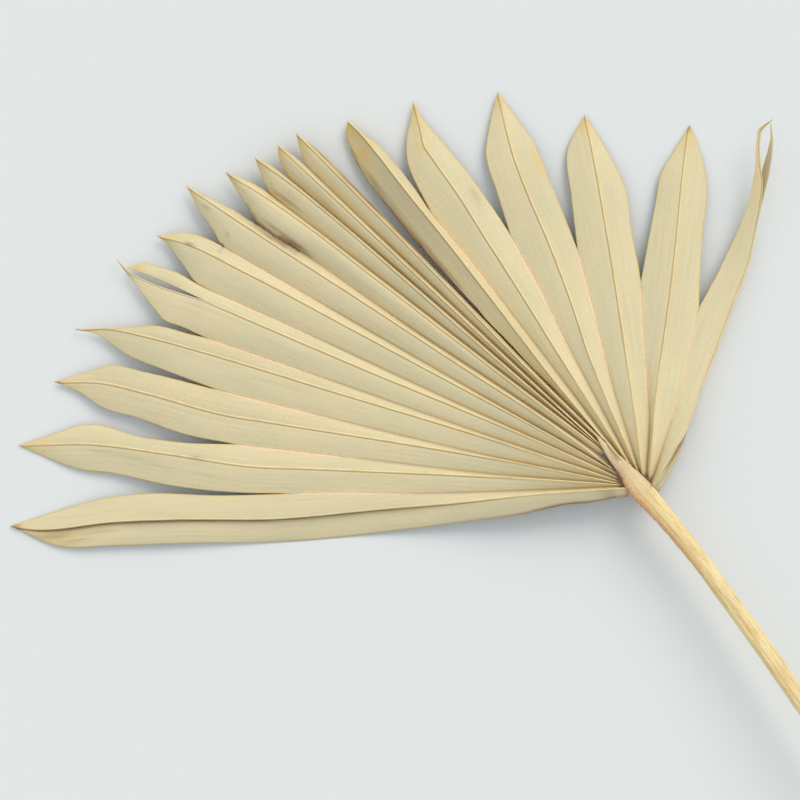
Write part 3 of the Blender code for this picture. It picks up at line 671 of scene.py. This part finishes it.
def stalk_frames(along):
    table = np.array(STALK_SECTIONS)
    return [monotone_curve(table[:, 0], table[:, k], along) for k in (1, 2, 3)]


def make_stalk(material):
    """The stalk and costa as one closed loft, ridged along its length, with a torn left edge."""
    sides = 64
    start, end = STALK_SECTIONS[0][0], STALK_SECTIONS[-1][0]
    along = np.concatenate([np.linspace(start, -24, 90), np.linspace(-23, end, 90)])
    across, width, depth = stalk_frames(along)
    turns = np.linspace(0, 2 * math.pi, sides, endpoint=False)
    ring_x, ring_z = np.cos(turns), np.sin(turns)
    height = np.array([costa_level(a) for a in along])
    height -= CUT_DROP * smooth_step((-135 - along) / 25)
    level = smooth_step((along + 60) / 50)    # the costa is flatter on top than the stalk
    ridges = 0.10 * np.cos(turns * 11 + 0.5) + 0.07 * np.cos(turns * 17 + 1.0)
    fade = smooth_step((end - along) / 14.0)
    points = np.zeros((len(along), sides, 3))
    torn = np.clip(-ring_x, 0, 1) ** 6
    raw = smooth_step((along + 75) / 60) * smooth_step((12 - along) / 8)
    jag = 0.24 * wobble(along, 4, 2.1) + 0.20 * wobble(along, 9, 0.7)
    swell = (1 + 0.012 * wobble(along, 2, 9.0))[:, None]
    shift = (ridges[None, :] * fade[:, None] * (1 + 0.5 * wobble(along, 7, 14.0)[:, None])
             + torn[None, :] * (raw * jag)[:, None])
    points[:, :, 0] = across[:, None] + (0.5 * width[:, None] * swell + shift) * ring_x
    points[:, :, 1] = along[:, None]
    flatness = np.where(ring_z > 0, 0.55 - 0.22 * level[:, None], 1.0)
    squared = np.sign(ring_z) * np.abs(ring_z)[None, :] ** flatness
    scurf = 0.07 * wobble(along, 3, 1.1)[:, None] * np.cos(5 * turns + 2)[None, :] * level[:, None]
    points[:, :, 2] = height[:, None] + (0.5 * depth[:, None] * swell * 0.95 + 0.6 * shift + scurf) * squared
    rows = len(along)
    faces = []
    for r in range(rows - 1):
        for c in range(sides):
            n = (c + 1) % sides
            faces.append((r * sides + c, r * sides + n, (r + 1) * sides + n, (r + 1) * sides + c))
    first = list(points.reshape(-1, 3))
    cap_near, cap_far = len(first), len(first) + 1
    first.append(points[0].mean(axis=0) + (0.0, 0.35, 0.0))
    first.append(points[-1].mean(axis=0))
    for c in range(sides):
        n = (c + 1) % sides
        faces.append((cap_near, n, c))
        faces.append((cap_far, (rows - 1) * sides + c, (rows - 1) * sides + n))
    data = bpy.data.meshes.new("stalk")
    data.from_pydata((np.array(first) * MM).tolist(), [], faces)
    along_mark = np.append(np.repeat(along, sides), (along[0], along[-1]))
    strand = np.stack([np.append(np.tile(3.2 * np.cos(turns), rows), (0, 0)), along_mark,
                       np.append(np.tile(3.2 * np.sin(turns), rows), (0, 0))], axis=1)
    raw_mark = np.append((raw[:, None] * torn[None, :] ** 0.22).ravel(), (0, 0))
    write_marks(data, strand, {"raw": raw_mark, "hubward": along_mark})
    mesh = bmesh.new()
    mesh.from_mesh(data)
    bmesh.ops.recalc_face_normals(mesh, faces=mesh.faces)
    mesh.to_mesh(data)
    mesh.free()
    return add_piece("stalk", data, material, ["petiole"])


def fibre_tube(mesh, path, radius, sides=6):
    """A thin tapering tube along a path of points in mm, closed at both ends."""
    path = np.array(path, float)
    rings = []
    for k, point in enumerate(path):
        ahead = path[min(k + 1, len(path) - 1)] - path[max(k - 1, 0)]
        ahead /= np.linalg.norm(ahead)
        side = np.cross(ahead, (0.13, 0.21, 0.97))
        side /= np.linalg.norm(side)
        up = np.cross(side, ahead)
        share = k / (len(path) - 1)
        size = radius * (1 - 0.75 * share ** 2)
        rings.append([mesh.verts.new((point + size * (math.cos(t) * side + math.sin(t) * up)) * MM)
                      for t in np.linspace(0, 2 * math.pi, sides, endpoint=False)])
    for near, far in zip(rings, rings[1:]):
        for k in range(sides):
            n = (k + 1) % sides
            mesh.faces.new((near[k], near[n], far[n], far[k]))
    mesh.faces.new(rings[0][::-1])
    mesh.faces.new(rings[-1])


def loose_height(heading, reach):
    """Height at which a loose fibre lies: just above the nearest rib."""
    def miss(index):
        rib = SEGMENTS[index].rib
        return abs(np.interp(reach, [r for _, r in rib], [h for h, _ in rib]) - heading)

    index = min(range(len(SEGMENTS)), key=miss)
    tip = max(SEGMENTS[index].left[-1][1], SEGMENTS[index].right[-1][1])
    _, height = rib_line(index, -1, np.array([30.0, min(reach, tip - 0.5)]), tip)
    return float(height[1]) + 0.25


def make_fibres(material):
    """The lumpy dark rim where the ribs leave the costa on both sides, with short fibres on it, and
    the loose fibres on the blade's torn edges."""
    mesh = bmesh.new()
    random = np.random.default_rng(5)
    left = [(-2.5, 16.5), (-2.9, 13.5), (-3.0, 10.5), (-3.1, 8.0), (-3.2, 6.0), (-3.6, 4.2), (-4.0, 2.4),
            (-4.5, 0.8)]
    right = [(1.6, 12.5), (2.5, 9.8), (3.4, 7.6), (4.2, 5.4), (4.8, 3.0), (5.3, 0.6), (5.9, -1.6),
             (6.4, -3.6), (6.8, -5.4)]
    for side, line in ((-1, left), (1, right)):
        spots = np.array(line)
        for near, far in zip(spots, spots[1:]):
            for share in (0.0, 0.33, 0.66):
                x, y = near + (far - near) * share + random.uniform(-0.18, 0.18, 2)
                z = costa_top(y) - random.uniform(0.7, 1.1)
                size = random.uniform(0.26, 0.44)
                lump = bmesh.ops.create_icosphere(mesh, subdivisions=2, radius=size * MM)
                stretch = random.uniform(0.8, 1.5)
                for vertex in lump["verts"]:
                    vertex.co.y *= stretch
                    vertex.co += Vector((x * MM, y * MM, z * MM))
                if random.random() < 0.55:
                    heading = random.uniform(-1.2, 1.2)
                    out = np.array([side * math.cos(heading), math.sin(heading), 0.0])
                    length = random.uniform(0.6, 1.3)
                    base = np.array([x, y, z + 0.1])
                    path = [base + out * length * s + np.array([0, 0, 0.35 * math.sin(math.pi * s) - 0.2 * s])
                            for s in np.linspace(0, 1, 6)]
                    fibre_tube(mesh, path, random.uniform(0.10, 0.17))
    for heading, reach, turn, length, radius in LOOSE_FIBRES:
        x, y = polar_to_plan(heading, reach)
        bottom = loose_height(heading, reach)
        angle = math.radians(heading + turn)
        out = np.array([-math.sin(angle), math.cos(angle), 0.0])
        bend = np.array([out[1], -out[0], 0.0]) * 0.18 * length
        path = [np.array([x, y, bottom]) + out * length * s + bend * math.sin(2.4 * s)
                + np.array([0, 0, 0.25 * math.sin(math.pi * s)]) for s in np.linspace(0, 1, 8)]
        fibre_tube(mesh, path, radius)
    data = bpy.data.meshes.new("hub_fibres")
    mesh.to_mesh(data)
    mesh.free()
    return add_piece("hub_fibres", data, material, [])


# Materials
class Shader:
    """A material's node tree with short calls for the nodes used here."""

    def __init__(self, name, roughness, specular):
        self.material = bpy.data.materials.new(name)
        self.material.use_nodes = True
        self.tree = self.material.node_tree
        self.surface = self.tree.nodes["Principled BSDF"]
        self.surface.inputs["Roughness"].default_value = roughness
        self.surface.inputs["Specular IOR Level"].default_value = specular

    def node(self, kind, inputs=(), **settings):
        made = self.tree.nodes.new(kind)
        for key, value in settings.items():
            setattr(made, key, value)
        for key, value in dict(inputs).items():
            if isinstance(value, bpy.types.NodeSocket):
                self.tree.links.new(value, made.inputs[key])
            else:
                made.inputs[key].default_value = value
        return made

    def mark(self, name, output="Fac"):
        return self.node("ShaderNodeAttribute", attribute_name=name).outputs[output]

    def math(self, operation, first, second=0.0):
        return self.node("ShaderNodeMath", {0: first, 1: second}, operation=operation).outputs[0]

    def band(self, value, start, end, low=0.0, high=1.0):
        """Smoothly from low at start to high at end."""
        made = self.node("ShaderNodeMapRange", {"Value": value, "From Min": start, "From Max": end,
                                                "To Min": low, "To Max": high},
                         interpolation_type="SMOOTHSTEP")
        return made.outputs["Result"]

    def scaled(self, vector, scale):
        return self.node("ShaderNodeVectorMath", {0: vector, 1: scale}, operation="MULTIPLY").outputs[0]

    def noise(self, vector, scale, detail=3.0, roughness=0.55):
        made = self.node("ShaderNodeTexNoise", {"Vector": vector, "Scale": scale, "Detail": detail,
                                                "Roughness": roughness})
        return made.outputs["Fac"]

    def blend(self, share, first, second):
        made = self.node("ShaderNodeMix", data_type="RGBA")
        for key, value in ((0, share), (6, first), (7, second)):
            if isinstance(value, bpy.types.NodeSocket):
                self.tree.links.new(value, made.inputs[key])
            else:
                made.inputs[key].default_value = value
        return made.outputs[2]

    def finish(self, colour, height, distance, roughness=None):
        self.tree.links.new(colour, self.surface.inputs["Base Color"])
        if roughness is not None:
            self.tree.links.new(roughness, self.surface.inputs["Roughness"])
        bump = self.node("ShaderNodeBump", {"Height": height, "Distance": distance, "Strength": 0.6})
        self.tree.links.new(bump.outputs["Normal"], self.surface.inputs["Normal"])
        return self.material


def blade_material():
    s = Shader("dried_blade", 0.55, 0.25)
    strand = s.mark("strand", "Vector")
    patches = s.noise(s.scaled(strand, (0.06, 0.02, 1.0)), 1.0, 3.0)
    streaks = s.noise(s.scaled(strand, (1.1, 0.022, 1.0)), 1.0, 4.0, 0.65)
    fine = s.noise(s.scaled(strand, (3.2, 0.09, 1.0)), 1.0, 3.0, 0.6)
    grain = s.noise(s.scaled(strand, (1.5, 1.1, 1.0)), 1.0, 4.0, 0.7)
    colour = s.blend(s.band(patches, 0.35, 0.65), LEAF_GREEN, LEAF_STRAW)
    colour = s.blend(s.band(streaks, 0.50, 0.74, 0.0, 0.30), colour, LEAF_DARK)
    colour = s.blend(s.band(streaks, 0.50, 0.26, 0.0, 0.20), colour, LEAF_LIGHT)
    colour = s.blend(s.band(grain, 0.50, 0.68, 0.0, 0.34), colour, LEAF_DARK)
    colour = s.blend(s.band(fine, 0.50, 0.30, 0.0, 0.20), colour, LEAF_LIGHT)
    specks = s.noise(s.scaled(strand, (0.8, 0.3, 1.0)), 1.0, 4.0, 0.75)
    colour = s.blend(s.band(specks, 0.62, 0.76, 0.0, 0.40), colour, SEAM_SHADE_AND_SPECK_BROWN)
    inward = s.mark("inward")
    seam = s.mark("seam")
    ragged = s.band(s.noise(s.scaled(strand, (0.6, 0.45, 1.0)), 1.0, 3.0), 0.38, 0.56, 0.25, 1.0)
    notch = s.math("MULTIPLY", s.band(seam, 1.3, 0.6), s.band(inward, 4.5, 1.0, 0.0, 0.6))
    colour = s.blend(s.math("MULTIPLY", notch, s.mark("torn")), colour, STALK_RAW)
    near_seam = s.math("MULTIPLY", s.band(seam, 1.05, 0.55), ragged)
    near_seam = s.math("MULTIPLY", near_seam, s.mark("torn"))
    torn = s.math("MULTIPLY", near_seam, s.band(inward, 75.0, 35.0))
    # Painted shade: the seams darken towards the hub, where the valleys between the pleats lie deep.
    valley_shade = s.math("MULTIPLY", s.band(seam, 1.2, 0.3), s.band(inward, 30.0, 60.0, 0.0, 0.4))
    colour = s.blend(valley_shade, colour, SEAM_SHADE_AND_SPECK_BROWN)
    colour = s.blend(torn, colour, SEAM_ORANGE)
    gold = s.math("MAXIMUM", s.math("MULTIPLY", s.mark("gold"), s.band(grain, 0.3, 0.6, 0.5, 1.0)),
                  s.band(s.mark("tipward"), 11.0, 1.0, 0.0, 0.85))
    colour = s.blend(gold, colour, GOLDEN)
    rim = s.math("MULTIPLY", s.band(s.mark("rim"), 0.58, 0.24),
                 s.band(s.noise(s.scaled(strand, (0.1, 0.12, 1.0)), 1.0, 2.0), 0.3, 0.6, 0.45, 1.0))
    colour = s.blend(rim, colour, GOLDEN)
    beside = s.node("ShaderNodeSeparateXYZ", {0: strand}).outputs["X"]
    # Painted shadow: a dark line just left of each rib, from about 40 mm out from the hub.
    furrow_shade = s.math("MULTIPLY", s.band(beside, -1.0, -0.72), s.band(beside, -0.36, -0.52))
    furrow_shade = s.math("MULTIPLY", furrow_shade, s.band(s.mark("hubward"), 40.0, 70.0, 0.0, 0.62))
    colour = s.blend(furrow_shade, colour, FURROW_SHADE)
    rib = s.band(s.mark("rib"), 1.15, 0.8, 0.0, 0.92)
    rib_tone = s.blend(s.band(s.noise(s.scaled(strand, (0.3, 0.12, 1.0)), 1.0, 3.0), 0.4, 0.7), RIB, RIB_DARK)
    colour = s.blend(rib, colour, rib_tone)
    # Brown marks: stains and torn edges, and painted shade in some creases and on two halves that face the
    # lamp.
    brown = s.math("MULTIPLY", s.mark("brown"), s.band(fine, 0.3, 0.62, 0.45, 1.0))
    colour = s.blend(brown, colour, STAIN_AND_SHADE)
    relief = s.math("ADD", s.math("MULTIPLY", fine, 0.55), s.math("MULTIPLY", grain, 0.5))
    relief = s.math("ADD", relief, s.math("MULTIPLY", streaks, 0.7))
    return s.finish(colour, relief, 0.00013, s.band(grain, 0.3, 0.7, 0.48, 0.62))


def stalk_material():
    s = Shader("dried_stalk", 0.5, 0.3)
    strand = s.mark("strand", "Vector")
    streaks = s.noise(s.scaled(strand, (1.3, 0.035, 1.3)), 1.0, 4.0, 0.65)
    fine = s.noise(s.scaled(strand, (3.5, 0.12, 3.5)), 1.0, 3.0, 0.6)
    patches = s.noise(s.scaled(strand, (0.25, 0.05, 0.25)), 1.0, 3.0)
    colour = s.blend(s.band(patches, 0.35, 0.65), STALK_STRAW, STALK_PALE)
    colour = s.blend(s.band(streaks, 0.50, 0.70, 0.0, 0.5), colour, STALK_STREAK)
    colour = s.blend(s.band(fine, 0.48, 0.3, 0.0, 0.35), colour, STALK_PALE)
    colour = s.blend(s.band(fine, 0.52, 0.68, 0.0, 0.45), colour, STALK_STREAK)
    flecks = s.noise(s.scaled(strand, (1.6, 0.9, 1.6)), 1.0, 4.0, 0.7)
    colour = s.blend(s.band(flecks, 0.56, 0.70, 0.0, 0.55), colour, STALK_STREAK)
    scarred = s.math("MULTIPLY", s.band(s.mark("hubward"), -14.0, 4.0, 0.0, 0.9),
                     s.band(flecks, 0.4, 0.6, 0.25, 1.0))
    colour = s.blend(scarred, colour, COSTA_TAN)
    raw = s.math("MULTIPLY", s.mark("raw"), s.band(flecks, 0.35, 0.6, 0.35, 1.0))
    colour = s.blend(raw, colour, STALK_RAW)
    relief = s.math("ADD", s.math("MULTIPLY", fine, 0.5), s.math("MULTIPLY", streaks, 0.8))
    return s.finish(colour, relief, 0.00045, s.band(fine, 0.3, 0.7, 0.5, 0.65))


def fibre_material():
    s = Shader("hub_fibre", 0.7, 0.2)
    place = s.node("ShaderNodeTexCoord").outputs["Object"]
    tone = s.noise(place, 900.0, 3.0)
    colour = s.blend(s.band(tone, 0.35, 0.65), FIBRE_PURPLE, FIBRE_BROWN)
    return s.finish(colour, tone, 0.0001)


def make_stage():
    """Pale floor, a soft dome of light and a broad lamp from the far right."""
    data = bpy.data.meshes.new("floor")
    half = 3.0
    data.from_pydata([(-half, -half, 0), (half, -half, 0), (half, half, 0), (-half, half, 0)], [],
                     [(0, 1, 2, 3)])
    shade = Shader("floor", 0.85, 0.1)
    shade.surface.inputs["Base Color"].default_value = FLOOR
    data.materials.append(shade.material)
    floor = bpy.data.objects.new("floor", data)
    bpy.context.scene.collection.objects.link(floor)
    world = bpy.data.worlds.new("dome")
    world.use_nodes = True
    sky = world.node_tree.nodes["Background"]
    sky.inputs["Color"].default_value = DOME
    sky.inputs["Strength"].default_value = DOME_STRENGTH
    bpy.context.scene.world = world
    sun = bpy.data.lights.new("key", "SUN")
    sun.energy = KEY_STRENGTH
    sun.color = KEY
    sun.angle = math.radians(KEY_SOFTNESS)
    lamp = bpy.data.objects.new("key", sun)
    lamp.rotation_euler = (0.0, math.radians(90 - KEY_ELEVATION), math.radians(KEY_HEADING))
    bpy.context.scene.collection.objects.link(lamp)
    bpy.context.scene.view_settings.view_transform = "Standard"


def make_camera():
    lens = bpy.data.cameras.new("camera")
    lens.lens, lens.sensor_width = 36.0 * VIEW_DISTANCE / VIEW_WIDTH, 36.0
    lens.clip_end = 20.0
    camera = bpy.data.objects.new("camera", lens)
    x, y = VIEW_CENTRE
    camera.location = (HUB[0] + x * MM, HUB[1] + y * MM, VIEW_DISTANCE + VIEW_LEVEL * MM)
    camera.rotation_euler = (0.0, 0.0, math.radians(VIEW_TURN))
    bpy.context.scene.collection.objects.link(camera)
    bpy.context.scene.camera = camera


make_stage()
make_camera()
BLADE = blade_material()
for number in range(len(SEGMENTS)):
    make_segment(number, BLADE)
STALK = stalk_material()
make_stalk(STALK)
make_fibres(fibre_material())

bpy.context.view_layer.update()
